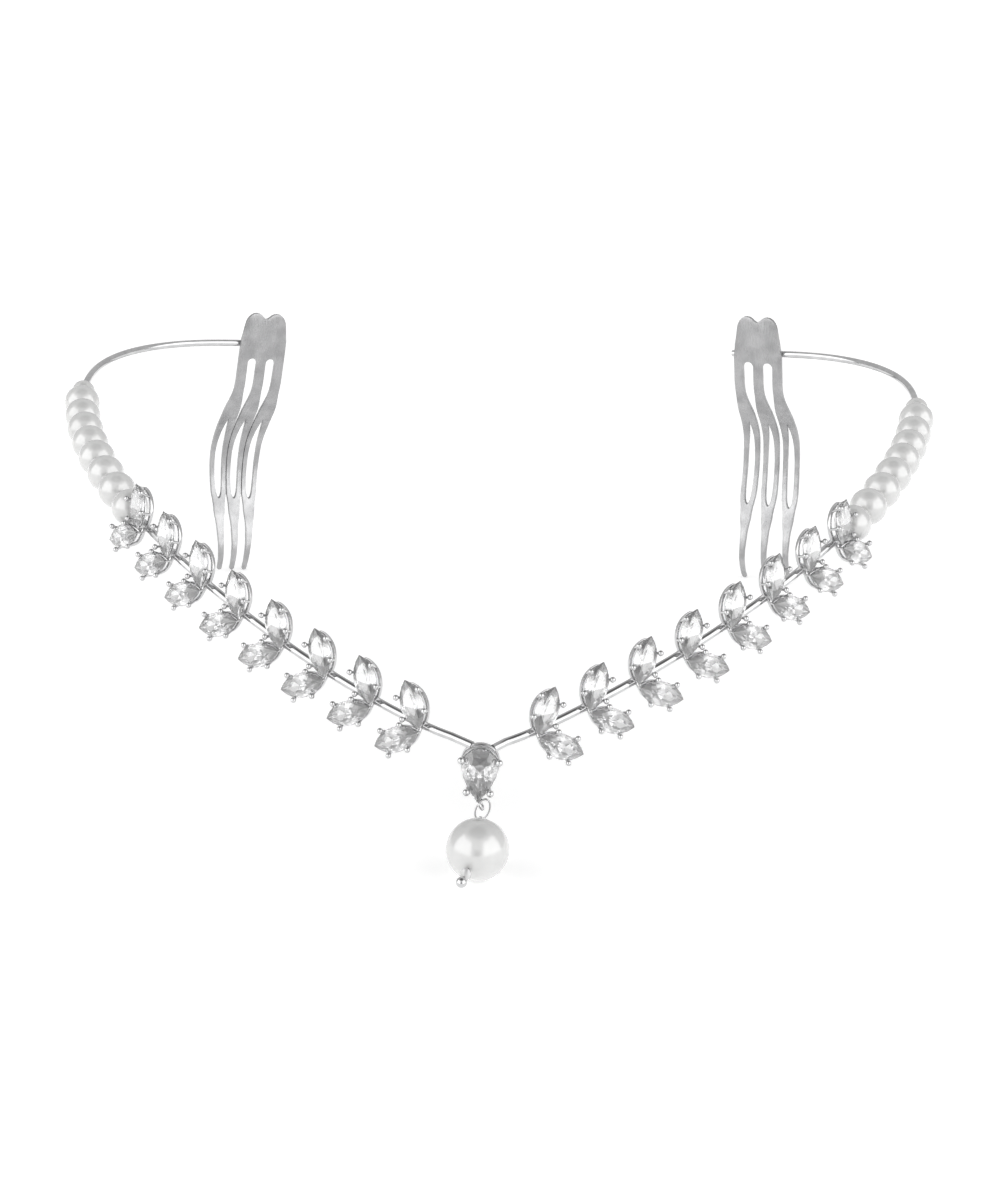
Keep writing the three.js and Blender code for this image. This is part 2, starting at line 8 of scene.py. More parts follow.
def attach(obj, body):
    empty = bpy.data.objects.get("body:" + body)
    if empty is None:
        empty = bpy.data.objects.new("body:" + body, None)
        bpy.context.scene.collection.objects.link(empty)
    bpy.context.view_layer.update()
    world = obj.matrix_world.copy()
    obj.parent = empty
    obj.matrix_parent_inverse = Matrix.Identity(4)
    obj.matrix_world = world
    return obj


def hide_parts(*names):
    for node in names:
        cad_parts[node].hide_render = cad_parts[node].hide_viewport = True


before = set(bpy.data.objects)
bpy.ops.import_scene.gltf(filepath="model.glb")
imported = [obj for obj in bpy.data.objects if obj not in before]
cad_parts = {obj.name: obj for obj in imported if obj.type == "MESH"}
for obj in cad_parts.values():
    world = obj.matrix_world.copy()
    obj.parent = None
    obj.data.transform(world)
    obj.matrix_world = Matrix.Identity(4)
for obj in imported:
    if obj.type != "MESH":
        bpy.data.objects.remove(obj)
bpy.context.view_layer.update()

# Lengths are in millimetres, angles in degrees; keepPiece turns the finished meshes into metres
toMetres = 0.001
smoothMetal, smoothPearl = 40, 30  # faces that meet under these angles are shaded smooth
rimAngle = 70  # edges sharper than this are rims of a rail
print("frame loaded")


# The wire's route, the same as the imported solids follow

bandRoute = {
    "frontY": -62.0,
    "frontHeight": 16.3,
    "step": 0.5,
    "wireStart": 4.2,
    "wireEnd": 179.2,
    "leftLift": 0.9,  # the left half is bent a little higher near the front
    "leftLiftEnd": 34.0,
    "rows": [  # distance from the front, heading seen from above, rise
        {"along": 0, "heading": 22, "rise": 7},
        {"along": 10, "heading": 33, "rise": 12},
        {"along": 28, "heading": 34, "rise": 17},
        {"along": 46, "heading": 40.5, "rise": 18},
        {"along": 64, "heading": 49, "rise": 16.5},
        {"along": 84, "heading": 60.5, "rise": 13.5},
        {"along": 104, "heading": 71.5, "rise": 9.5},
        {"along": 126, "heading": 86, "rise": 9},
        {"along": 150, "heading": 124, "rise": -0.4},
        {"along": 168, "heading": 150, "rise": -4.9},
        {"along": 182, "heading": 154, "rise": -6},
    ],
}


def routeValue(key, along):
    rows = bandRoute["rows"]
    i = 0
    while i < len(rows) - 2 and along > rows[i + 1]["along"]:
        i += 1

    def slope(j):
        before, after = rows[max(j - 1, 0)], rows[min(j + 1, len(rows) - 1)]
        return (after[key] - before[key]) / (after["along"] - before["along"])

    span = rows[i + 1]["along"] - rows[i]["along"]
    t = (along - rows[i]["along"]) / span
    ends = rows[i][key] * (2 * t**3 - 3 * t**2 + 1) + rows[i + 1][key] * (3 * t**2 - 2 * t**3)
    return ends + slope(i) * span * (t**3 - 2 * t**2 + t) + slope(i + 1) * span * (t**3 - t**2)


def routeDirection(along):
    heading = math.radians(routeValue("heading", along))
    rise = math.radians(routeValue("rise", along))
    level = Vector((math.cos(heading), math.sin(heading), 0))
    return level * math.cos(rise) + Vector((0, 0, math.sin(rise)))


routePoints = [Vector((0, bandRoute["frontY"], bandRoute["frontHeight"]))]
while (len(routePoints) - 0.5) * bandRoute["step"] < bandRoute["wireEnd"] + bandRoute["step"]:
    middle = (len(routePoints) - 0.5) * bandRoute["step"]
    routePoints.append(routePoints[-1] + bandRoute["step"] * routeDirection(middle))


# Place, back along the wire, outward from the head, up
def onWire(along):
    i = min(int(along / bandRoute["step"]), len(routePoints) - 2)
    place = routePoints[i].lerp(routePoints[i + 1], along / bandRoute["step"] - i)
    back = routeDirection(along)
    heading = math.radians(routeValue("heading", along))
    up = Vector((math.sin(heading), -math.cos(heading), 0)).cross(back).normalized()
    return place, back, back.cross(up), up


def otherSide(v):
    return Vector((-v.x, v.y, v.z))


# Place on the right (1) or left (-1) half of the wire
def wirePlace(along, side):
    place = onWire(along)[0]
    if side > 0:
        return place
    place.z += bandRoute["leftLift"] * max(0, 1 - along / bandRoute["leftLiftEnd"]) ** 2
    return otherSide(place)


# Materials

noiseSpan = (0.35, 0.65)  # where a noise has most of its values


def newMaterial(name):
    material = bpy.data.materials.new(name)
    material.use_nodes = True
    nodes, links = material.node_tree.nodes, material.node_tree.links
    shader = nodes["Principled BSDF"]
    place = nodes.new("ShaderNodeTexCoord").outputs["Object"]
    return material, nodes, links, shader, place


# A noise whose grains are about size millimetres
def noiseValue(nodes, links, place, size, detail, stretch=(1, 1, 1)):
    mapping = nodes.new("ShaderNodeMapping")
    mapping.inputs["Scale"].default_value = [s / (size * toMetres) for s in stretch]
    noise = nodes.new("ShaderNodeTexNoise")
    noise.inputs["Scale"].default_value = 1.0
    noise.inputs["Detail"].default_value = detail
    links.new(place, mapping.inputs["Vector"])
    links.new(mapping.outputs["Vector"], noise.inputs["Vector"])
    return noise.outputs["Fac"]


# Value turned into a number between low and high
def rangedNumber(nodes, links, value, low, high):
    spread = nodes.new("ShaderNodeMapRange")
    spread.inputs["From Min"].default_value, spread.inputs["From Max"].default_value = noiseSpan
    spread.inputs["To Min"].default_value, spread.inputs["To Max"].default_value = low, high
    links.new(value, spread.inputs["Value"])
    return spread.outputs["Result"]


# Value turned into a colour between two others
def rangedColour(nodes, links, value, low, high):
    ramp = nodes.new("ShaderNodeValToRGB")
    for stop, position, colour in zip(ramp.color_ramp.elements, noiseSpan, (low, high)):
        stop.position = position
        stop.color = (*colour, 1)
    links.new(value, ramp.inputs["Fac"])
    return ramp.outputs["Color"]


looks = {  # noise sizes and bump heights in millimetres
    "polished_silver": {
        "colours": ((0.57, 0.57, 0.575), (0.66, 0.66, 0.665)), "cloud": {"size": 1.6, "detail": 4.0},
        "roughness": (0.04, 0.11), "wear": {"size": 0.5, "detail": 5.0},
        "grain": {"size": 0.9, "detail": 2.0}, "bump": {"height": 0.01, "strength": 0.35},
        "constants": {"Metallic": 1.0},
    },
    "comb_metal": {  # drawn out in streaks
        # painted shade: the combs' base colours are set darker than the wire's silver, though both are the
        # same plating
        "colours": ((0.35, 0.35, 0.355), (0.46, 0.46, 0.465)), "cloud": {"size": 3.0, "detail": 4.0},
        "roughness": (0.2, 0.34), "wear": {"size": 0.35, "detail": 4.0, "stretch": (1, 1, 0.08)},
        "grain": {"size": 0.35, "detail": 4.0, "stretch": (1, 1, 0.08)},
        "bump": {"height": 0.012, "strength": 0.5},
        "constants": {"Metallic": 1.0},
    },
    "pearl": {
        "colours": ((0.63, 0.63, 0.625), (0.68, 0.68, 0.675)), "cloud": {"size": 4.0, "detail": 3.0},
        "grain": {"size": 0.25, "detail": 4.0}, "bump": {"height": 0.004, "strength": 0.3},
        "constants": {
            "Metallic": 0.2, "Roughness": 0.22, "Coat Weight": 1.0, "Coat Roughness": 0.07,
            "Coat IOR": 1.6,
        },
    },
    "clear_stone": {
        "colours": ((0.9, 0.9, 0.905), (0.98, 0.98, 0.985)), "cloud": {"size": 2.0, "detail": 2.0},
        "roughness": (0.0, 0.03), "wear": {"size": 0.4, "detail": 4.0},
        "constants": {"Transmission Weight": 0.88, "IOR": 2.0},
    },
    "clear_bead": {
        "colours": ((0.88, 0.88, 0.88), (0.96, 0.96, 0.96)), "cloud": {"size": 0.5, "detail": 3.0},
        "roughness": (0.08, 0.2), "wear": {"size": 0.5, "detail": 3.0},
        "constants": {"Transmission Weight": 0.65, "IOR": 1.5},
    },
}


def lookMaterial(name):
    look = looks[name]
    material, nodes, links, shader, place = newMaterial(name)
    for key, value in look["constants"].items():
        shader.inputs[key].default_value = value
    cloud = noiseValue(nodes, links, place, **look["cloud"])
    links.new(rangedColour(nodes, links, cloud, *look["colours"]), shader.inputs["Base Color"])
    if "wear" in look:
        wear = noiseValue(nodes, links, place, **look["wear"])
        links.new(rangedNumber(nodes, links, wear, *look["roughness"]), shader.inputs["Roughness"])
    if "bump" in look:
        bump = nodes.new("ShaderNodeBump")
        bump.inputs["Distance"].default_value = look["bump"]["height"] * toMetres
        bump.inputs["Strength"].default_value = look["bump"]["strength"]
        links.new(noiseValue(nodes, links, place, **look["grain"]), bump.inputs["Height"])
        links.new(bump.outputs["Normal"], shader.inputs["Normal"])
    return material


silver = lookMaterial("polished_silver")
combSilver = lookMaterial("comb_metal")
pearl = lookMaterial("pearl")
crystal = lookMaterial("clear_stone")
clearGlass = lookMaterial("clear_bead")
print("materials made")


# Building blocks


# The bmesh as a piece of the tiara, smooth where faces meet under that angle
def keepPiece(name, bm, material, replaced, smooth=None):
    bmesh.ops.recalc_face_normals(bm, faces=bm.faces[:])
    bmesh.ops.scale(bm, vec=(toMetres,) * 3, verts=bm.verts[:])
    mesh = bpy.data.meshes.new(name)
    bm.to_mesh(mesh)
    bm.free()
    mesh.materials.append(material)
    if smooth is not None:
        mesh.shade_smooth()
        mesh.set_sharp_from_angle(angle=math.radians(smooth))
    piece = bpy.data.objects.new(name, mesh)
    bpy.context.scene.collection.objects.link(piece)
    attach(piece, "root")
    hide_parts(*replaced)
    return piece


# Matrix that carries +z to that direction and the origin to that place
def turnedTo(direction, place):
    return Matrix.Translation(place) @ direction.to_track_quat("Z", "Y").to_matrix().to_4x4()


def addRod(bm, start, end, radius, sides=10):
    axis = end - start
    bmesh.ops.create_cone(
        bm, cap_ends=True, segments=sides, radius1=radius, radius2=radius, depth=axis.length,
        matrix=turnedTo(axis, start.lerp(end, 0.5)))


def addBall(bm, centre, radius, subdivisions=2):
    bmesh.ops.create_icosphere(
        bm, subdivisions=subdivisions, radius=radius, matrix=Matrix.Translation(centre))


# Round wire through the points, made from a curve
def addTube(bm, points, radius, closed=False, resolution=3):
    curve = bpy.data.curves.new("route", "CURVE")
    curve.dimensions = "3D"
    curve.bevel_depth = radius
    curve.bevel_resolution = resolution
    curve.use_fill_caps = not closed
    spline = curve.splines.new("POLY")
    spline.points.add(len(points) - 1)
    for point, place in zip(spline.points, points):
        point.co = (*place, 1)
    spline.use_cyclic_u = closed
    holder = bpy.data.objects.new("route", curve)
    mesh = bpy.data.meshes.new_from_object(holder)
    bm.from_mesh(mesh)
    bpy.data.objects.remove(holder)
    bpy.data.meshes.remove(mesh)
    bpy.data.curves.remove(curve)


# Closed loop of edges through (x, y) points
def addOutline(bm, outline, z=0.0):
    verts = [bm.verts.new((x, y, z)) for x, y in outline]
    return [bm.edges.new((verts[i - 1], verts[i])) for i in range(len(verts))]


def sharpEdges(bm, angle):
    joined = [e for e in bm.edges if len(e.link_faces) == 2]
    return [e for e in joined if e.calc_face_angle(0) > math.radians(angle)]


# Upright metal strip that follows an outline, with soft edges
def addRail(bm, outline, top, bottom, wall, edge):
    rail = bmesh.new()
    loop = addOutline(rail, outline, bottom)
    raised = bmesh.ops.extrude_edge_only(rail, edges=loop)["geom"]
    upper = [item for item in raised if isinstance(item, bmesh.types.BMVert)]
    bmesh.ops.translate(rail, vec=(0, 0, top - bottom), verts=upper)
    bmesh.ops.recalc_face_normals(rail, faces=rail.faces[:])
    bmesh.ops.solidify(rail, geom=rail.faces[:], thickness=wall)
    bmesh.ops.recalc_face_normals(rail, faces=rail.faces[:])
    rims = sharpEdges(rail, rimAngle)
    bmesh.ops.bevel(
        rail, geom=rims, offset=edge, offset_type="OFFSET", affect="EDGES", segments=2, profile=0.5,
        material=-1)
    merge(bm, rail)


# Adds a small bmesh to a larger one, turned into place
def merge(bm, other, matrix=None):
    if matrix is not None:
        bmesh.ops.transform(other, matrix=matrix, verts=other.verts[:])
    mesh = bpy.data.meshes.new("part")
    other.to_mesh(mesh)
    other.free()
    bm.from_mesh(mesh)
    bpy.data.meshes.remove(mesh)


# Two equal arcs that meet in points
def marquiseOutline(length, width, perSide):
    radius = (length**2 + width**2) / (4 * width)
    half = math.asin(length / 2 / radius)
    outline = []
    for side in (1, -1):
        for i in range(perSide):
            angle = side * half * (1 - 2 * i / perSide)
            bulge = radius * math.cos(angle) - radius + width / 2
            outline.append((radius * math.sin(angle), side * bulge))
    return outline


# Round at one end, a point at +x
def pearOutline(length, width, count, fullness=0.77):
    outline = []
    for i in range(count):
        angle = 2 * math.pi * i / count
        half = width / 2 / fullness * math.sin(angle) * math.sin(angle / 2)
        outline.append((length / 2 * math.cos(angle), half))
    return outline


# Cut stones

marquiseCut = {
    "length": 7.3, "width": 3.7, "outlineCount": 8, "girdle": 0.1,
    "table": 0.56, "tableHeight": 0.66, "starScale": 0.8, "starHeight": 0.44,
    "pavilionScale": 0.52, "pavilionDepth": 0.95, "depth": 1.5, "keel": 0.16,
}
pearCut = {
    "length": 8.0, "width": 5.15, "outlineCount": 16, "girdle": 0.1,
    "table": 0.52, "tableHeight": 0.85, "starScale": 0.79, "starHeight": 0.55,
    "pavilionScale": 0.5, "pavilionDepth": 1.2, "depth": 1.9, "keel": 0.1,
}


# Table, star and kite facets, girdle, pavilion facets and culet, as the hull of their corners
def cutStone(outline, cut):
    bm = bmesh.new()
    count = len(outline)
    for i, (x, y) in enumerate(outline):
        for z in (cut["girdle"] / 2, -cut["girdle"] / 2):
            bm.verts.new((x, y, z))
        if i % 2 == 0:
            bm.verts.new((x * cut["table"], y * cut["table"], cut["tableHeight"]))
            bm.verts.new((x * cut["pavilionScale"], y * cut["pavilionScale"], -cut["pavilionDepth"]))
        else:
            bm.verts.new((x * cut["starScale"], y * cut["starScale"], cut["starHeight"]))
    for side in (1, -1):
        bm.verts.new((side * cut["keel"] * cut["length"] / 2, 0, -cut["depth"]))
    hull = bmesh.ops.convex_hull(bm, input=bm.verts[:])
    left = {*hull["geom_interior"], *hull["geom_unused"]}
    loose = [item for item in left if isinstance(item, bmesh.types.BMVert)]
    bmesh.ops.delete(bm, geom=loose, context="VERTS")
    bmesh.ops.dissolve_limit(bm, angle_limit=math.radians(1), verts=bm.verts[:], edges=bm.edges[:])
    return bm


# Leaf settings

leafPairs = {"count": 8, "first": 9.3, "pitch": 8.81}
leaves = [
    {"name": "upper", "back": 1.5, "out": 1.15, "up": 2.9, "lift": 46.8, "lean": -13, "roll": -13},
    {"name": "lower", "back": 2, "out": 2.85, "up": -2.45, "lift": -36.9, "lean": 11.3, "roll": -3},
]
leafSetting = {
    "outlineCount": 14, "edge": 0.09,
    "rails": [
        {"length": 6.75, "width": 3.5, "top": -1.3, "bottom": -1.95, "wall": 0.42},
        {"length": 6.9, "width": 3.35, "top": -0.35, "bottom": -0.62, "wall": 0.22},
    ],
    "prongs": [{"ball": (1.6, 1.85), "foot": (1.4, 1.2)}, {"ball": (-1.6, 1.85), "foot": (-1.4, 1.2)}],
    "prongRadius": 0.21, "ballRadius": 0.45, "ballHeight": 0.6, "postRadius": 0.42, "strutInset": 0.35,
}
pearSetting = {
    "outlineCount": 36, "edge": 0.11,
    "rails": [
        {"length": 8.4, "width": 5.6, "top": -1.6, "bottom": -2.3, "wall": 0.46},
        {"length": 7.95, "width": 5.25, "top": -0.75, "bottom": -1.25, "wall": 0.4},
    ],
    "prongs": [{"ball": (-2.35, 2.65), "foot": (-2.1, 2.42)}, {"ball": (2.35, 1.68), "foot": (2.0, 1.35)}],
    "prongRadius": 0.26, "ballRadius": 0.55, "ballHeight": 0.6,
    "x": 0.3, "forward": 2.0, "below": 3.04, "tilt": 2.5,
}
armSeats = {"left": {"back": 3.7, "across": -1.25}, "right": {"back": 3.4, "across": 1.65}}
lug = {
    "x": 0.45, "forward": 1.2, "below": 7.65, "radius": 0.75, "wire": 0.25, "turn": 30, "solder": 0.55,
    "bends": 24,
}
wire = {"radius": 0.62, "count": 170, "resolution": 6}


def leafMatrix(at, leaf, side):
    _, back, out, up = onWire(at)
    lift, lean, roll = (math.radians(leaf[key]) for key in ("lift", "lean", "roll"))
    along = back * math.cos(lift) + up * math.sin(lift)
    point = along * math.cos(lean) + out * math.sin(lean)
    face = (out - point * out.dot(point)).normalized()
    face.rotate(Matrix.Rotation(roll, 3, point))
    offset = back * leaf["back"] + out * leaf["out"] + up * leaf["up"]
    if side < 0:
        point, face, offset = otherSide(point), otherSide(face), otherSide(offset)
    across = face.cross(point)
    matrix = Matrix((point, across, face)).transposed().to_4x4()
    return Matrix.Translation(wirePlace(at, side) + offset) @ matrix


# Height of the middle of a setting's rear rail
def railMiddle(setting):
    rear = setting["rails"][0]
    return (rear["top"] + rear["bottom"]) / 2


# Rails and prongs with ball tips, in the stone's own axes
def basketMesh(outlineOf, setting):
    basket = bmesh.new()
    for rail in setting["rails"]:
        outline = outlineOf(rail["length"], rail["width"], setting["outlineCount"])
        addRail(basket, outline, rail["top"], rail["bottom"], rail["wall"], setting["edge"])
    for prong in setting["prongs"]:
        for side in (1, -1):
            ball = Vector((prong["ball"][0], side * prong["ball"][1], setting["ballHeight"]))
            foot = Vector((prong["foot"][0], side * prong["foot"][1], railMiddle(setting)))
            addRod(basket, foot, ball, setting["prongRadius"])
            addBall(basket, ball, setting["ballRadius"])
    return basket


bandMetal = bmesh.new()
stones = []
for sideName, side in (("left", -1), ("right", 1)):
    for pair in range(leafPairs["count"]):
        along = leafPairs["first"] + pair * leafPairs["pitch"]
        for leaf in leaves:
            matrix = leafMatrix(along, leaf, side)
            stones.append((f"{sideName}_{leaf['name']}_stone_{pair + 1}", matrix))
            basket = basketMesh(marquiseOutline, leafSetting)
            rear, front = leafSetting["rails"]
            for end in (1, -1):  # short struts between the rails at the stone's points
                low = Vector((end * (rear["length"] / 2 - leafSetting["strutInset"]), 0, rear["top"]))
                high = Vector((end * (front["length"] / 2 - leafSetting["strutInset"]), 0, front["bottom"]))
                addRod(basket, low, high, leafSetting["prongRadius"])
            merge(bandMetal, basket, matrix)
            seat = matrix @ Vector((rear["wall"] - rear["length"] / 2, 0, railMiddle(leafSetting)))
            addRod(bandMetal, wirePlace(along, side), seat, leafSetting["postRadius"])
print("leaf settings made")


# Front setting, lug and wire

tilt = math.radians(pearSetting["tilt"])
pearPoint = Vector((-math.sin(tilt), 0, -math.cos(tilt)))
pearFace = Vector((0, -1, 0))
pearCentre = routePoints[0] + Vector((pearSetting["x"], -pearSetting["forward"], -pearSetting["below"]))
pearMatrix = Matrix((pearPoint, pearFace.cross(pearPoint), pearFace)).transposed().to_4x4()
pearMatrix = Matrix.Translation(pearCentre) @ pearMatrix
merge(bandMetal, basketMesh(pearOutline, pearSetting), pearMatrix)

lugPlace = routePoints[0] + Vector((lug["x"], -lug["forward"], -lug["below"]))
lugTurn = math.radians(lug["turn"])
lugUp = Vector((-math.sin(lugTurn), 0, math.cos(lugTurn)))
lugPoints = []
for i in range(lug["bends"]):
    angle = 2 * math.pi * i / lug["bends"]
    lugPoints.append(lugPlace + (pearFace * math.cos(angle) + lugUp * math.sin(angle)) * lug["radius"])
addTube(bandMetal, lugPoints, lug["wire"], closed=True)
railTip = pearMatrix @ Vector((pearCut["length"] / 2 - lug["solder"], 0, railMiddle(pearSetting)))
addRod(bandMetal, railTip, lugPlace + Vector((0, 0, lug["radius"])), lug["wire"])

for sideName, side in (("left", -1), ("right", 1)):
    seat = armSeats[sideName]
    points = [pearMatrix @ Vector((-seat["back"], seat["across"], railMiddle(pearSetting)))]
    for i in range(wire["count"] + 1):
        span = bandRoute["wireEnd"] - bandRoute["wireStart"]
        points.append(wirePlace(bandRoute["wireStart"] + span * i / wire["count"], side))
    addTube(bandMetal, points, wire["radius"], resolution=wire["resolution"])
keepPiece(
    "band_wire_and_settings", bandMetal, silver, ["wire_and_settings"],
    smooth=smoothMetal)

for name, matrix in stones:
    cut = marquiseCut
    stone = cutStone(marquiseOutline(cut["length"], cut["width"], cut["outlineCount"]), cut)
    bmesh.ops.transform(stone, matrix=matrix, verts=stone.verts[:])
    keepPiece(name + "_cut", stone, crystal, [name])
stone = cutStone(pearOutline(pearCut["length"], pearCut["width"], pearCut["outlineCount"]), pearCut)
bmesh.ops.transform(stone, matrix=pearMatrix, verts=stone.verts[:])
keepPiece("pear_stone_cut", stone, crystal, ["pear_stone"])
print("wire, front setting and stones made")


# Pearl strings

pearlString = {
    "count": 8, "radius": 2.95, "pitch": 5.9, "last": 118.3, "endRadius": 1.95,
    "opening": 1.05, "hole": 0.8, "recess": 0.9, "segments": 40, "rings": 28,
}


# A ball with both poles cut open; returns the two rims, first the one towards -axis
def addPearl(bm, centre, axis, radius, opening, segments, rings):
    ball = bmesh.new()
    bmesh.ops.create_uvsphere(ball, u_segments=segments, v_segments=rings, radius=radius)
    height = math.sqrt(radius**2 - opening**2)
    for sign in (-1, 1):
        bmesh.ops.bisect_plane(
            ball, geom=ball.verts[:] + ball.edges[:] + ball.faces[:], plane_co=(0, 0, sign * height),
            plane_no=(0, 0, sign), clear_outer=True)
    bmesh.ops.remove_doubles(ball, verts=ball.verts[:], dist=1e-4)
    old = len(bm.edges)
    merge(bm, ball, turnedTo(axis, centre))
    bm.edges.ensure_lookup_table()
    rims = [[], []]
    for edge in bm.edges[old:]:
        if edge.is_boundary:
            middle = (edge.verts[0].co + edge.verts[1].co) / 2
            rims[(middle - centre).dot(axis) > 0].append(edge)
    return rims


# Turns a rim inwards as the edge of a drilled hole and closes it behind
def closeRim(bm, rim, axis, scale, recess):
    made = bmesh.ops.extrude_edge_only(bm, edges=rim)["geom"]
    verts = [item for item in made if isinstance(item, bmesh.types.BMVert)]
    middle = sum((v.co for v in verts), Vector()) / len(verts)
    bmesh.ops.scale(bm, vec=(scale,) * 3, space=Matrix.Translation(-middle), verts=verts)
    bmesh.ops.translate(bm, vec=axis * recess, verts=verts)
    inner = [item for item in made if isinstance(item, bmesh.types.BMEdge)]
    bmesh.ops.contextual_create(bm, geom=[e for e in inner if e.is_boundary])


def pearlStringMesh():
    row = pearlString
    first = row["last"] - (row["count"] - 1) * row["pitch"]
    beads = [(first + i * row["pitch"], row["radius"]) for i in range(row["count"])]
    beads.append((row["last"] + row["radius"] + row["endRadius"], row["endRadius"]))
    bm = bmesh.new()
    rims = []
    for along, radius in beads:
        place, back, _, _ = onWire(along)
        ends = addPearl(bm, place, back, radius, row["opening"], row["segments"], row["rings"])
        rims.append((ends, back))
    for (before, _), (after, _) in zip(rims, rims[1:]):
        bmesh.ops.bridge_loops(bm, edges=before[1] + after[0])
    closeRim(bm, rims[0][0][0], rims[0][1], row["hole"], row["recess"])
    closeRim(bm, rims[-1][0][1], -rims[-1][1], row["hole"], row["recess"])
    return bm


for sideName, side in (("left", -1), ("right", 1)):
    bm = pearlStringMesh()
    if side < 0:
        bmesh.ops.scale(bm, vec=(-1, 1, 1), verts=bm.verts[:])
    keepPiece(f"{sideName}_pearls", bm, pearl, [f"{sideName}_bead_string"], smooth=smoothPearl)
print("pearl strings made")


# Drop

drop = {
    "radius": 4.4, "x": 0.35, "forward": 6.95, "direction": (-0.27, -0.925, -0.265), "hole": 0.34,
    "tipRadius": 0.85, "ballRadius": 0.78, "pinRadius": 0.16, "clearance": 0.12,
    "loopRadius": 0.82, "loopFromHole": (-0.87, 1.37, 0.35), "bends": 32,
    "rimScale": 0.9, "rimRecess": 0.25,
}
jumpRing = {
    "x": 0.8, "forward": 1.3, "below": 8.4, "long": 1.65, "wide": 0.925, "tilt": 21.4, "wire": 0.15,
    "bends": 40,
}
dropPlace = Vector((drop["x"], bandRoute["frontY"] - drop["forward"], drop["radius"]))
pinAxis = Vector(drop["direction"]).normalized()


def alongPin(distance):
    return dropPlace + pinAxis * distance


def drilledBall(centre, radius, segments, rings):
    bm = bmesh.new()
    low, high = addPearl(bm, centre, pinAxis, radius, drop["hole"], segments, rings)
    closeRim(bm, low, pinAxis, drop["rimScale"], drop["rimRecess"] * radius)
    closeRim(bm, high, -pinAxis, drop["rimScale"], drop["rimRecess"] * radius)
    return bm


tipAt = drop["radius"] + drop["clearance"] + drop["tipRadius"]
ballAt = tipAt + drop["tipRadius"] + drop["clearance"] + drop["ballRadius"]
holeAt = -(drop["radius"] + drop["clearance"])
mainBall = drilledBall(dropPlace, drop["radius"], 64, 48)
keepPiece("drop_pearl", mainBall, pearl, ["drop_bead"], smooth=smoothPearl)
tipBall = drilledBall(alongPin(tipAt), drop["tipRadius"], 32, 24)
keepPiece("drop_tip_bead", tipBall, clearGlass, ["tip_bead"], smooth=smoothPearl)

loopNeck = Vector(drop["loopFromHole"])
loopPlace = alongPin(holeAt) + loopNeck
loopNeck.normalize()
loopSide = (Vector((1, 0, 0)) - loopNeck * loopNeck.x).normalized()
loopAcross = loopSide.cross(loopNeck)
pin = bmesh.new()
addRod(pin, alongPin(holeAt), alongPin(ballAt), drop["pinRadius"])
addBall(pin, alongPin(holeAt), drop["pinRadius"])
addRod(pin, alongPin(holeAt), loopPlace - loopNeck * drop["loopRadius"], drop["pinRadius"])
addBall(pin, alongPin(ballAt), drop["ballRadius"], 4)
loopPoints = []
for i in range(drop["bends"]):
    angle = 2 * math.pi * i / drop["bends"]
    spoke = loopNeck * math.cos(angle) + loopAcross * math.sin(angle)
    loopPoints.append(loopPlace + spoke * drop["loopRadius"])
addTube(pin, loopPoints, drop["pinRadius"], closed=True)
keepPiece("drop_head_pin", pin, silver, ["head_pin"], smooth=smoothMetal)

ringMiddle = routePoints[0] + Vector((jumpRing["x"], -jumpRing["forward"], -jumpRing["below"]))
ringTilt = math.radians(jumpRing["tilt"])
ringLong = Vector((math.sin(ringTilt), 0, math.cos(ringTilt))) * jumpRing["long"]
ringWide = Vector((math.cos(ringTilt), 0, -math.sin(ringTilt))) * jumpRing["wide"]
ringPoints = []
for i in range(jumpRing["bends"]):
    angle = 2 * math.pi * i / jumpRing["bends"]
    ringPoints.append(ringMiddle + ringLong * math.cos(angle) + ringWide * math.sin(angle))
ring = bmesh.new()
addTube(ring, ringPoints, jumpRing["wire"], closed=True)
keepPiece("drop_jump_ring", ring, silver, ["jump_ring"], smooth=smoothMetal)
print("drop made")


# Combs

crotch = -1.2
neckWidth = 1.9
comb = {
    "thickness": 0.7, "notch": 6.65, "tipWidth": 0.9, "bowStart": -5, "kickLength": 7, "gap": 0.2,
    "edge": 0.12, "rimAngle": 60, "gapDepth": 0.5, "slot": 0.1, "bendStep": 1.2, "gapBends": 10,
    "tipBends": 6, "heightStep": 1.0,
}
plateHalf = [
    (4.55, 2.4), (4.3, 3.9), (4.12, 5.2), (3.93, 6.1), (3.6, 6.8), (3.15, 7.3), (2.6, 7.62),
    (2, 7.7), (1.45, 7.6), (1, 7.35), (0.6, 7), (0.3, 6.76),
]
toothWidths = [
    (crotch, neckWidth), (-7, 1.95), (-13, 3.2), (-17, 3.35), (-29, 3.35), (-33.3, 2.3), (-37, 1.4),
    (-40.5, 1.1),
]
slitHalfWidths = [
    (-14.7, 0), (-15.4, 0.14), (-16.5, 0.3), (-18, 0.48), (-20, 0.64), (-22.5, 0.73), (-25, 0.74),
    (-27.5, 0.73), (-29.3, 0.64), (-30.4, 0.5), (-31.1, 0.3), (-31.4, 0),
]
pitchHeights = [crotch, -10, -22, -34]
combs = [
    {
        "name": "left", "side": -1, "at": 175.9, "below": 1.55, "lean": 5.4, "splay": 7.1, "bow": 7.3,
        "bowHeight": -22.9, "kick": 1.1, "pitches": [3.65, 3.6, 3.45, 3.1], "tipPitch": 2.6,
    },
    {
        "name": "right", "side": 1, "at": 173.5, "below": 0.3, "lean": 5.2, "splay": 2.4, "bow": 6.05,
        "bowHeight": -19.2, "kick": 2.3, "pitches": [3.9, 3.85, 4.15, 4.45], "tipPitch": 4.7,
    },
]


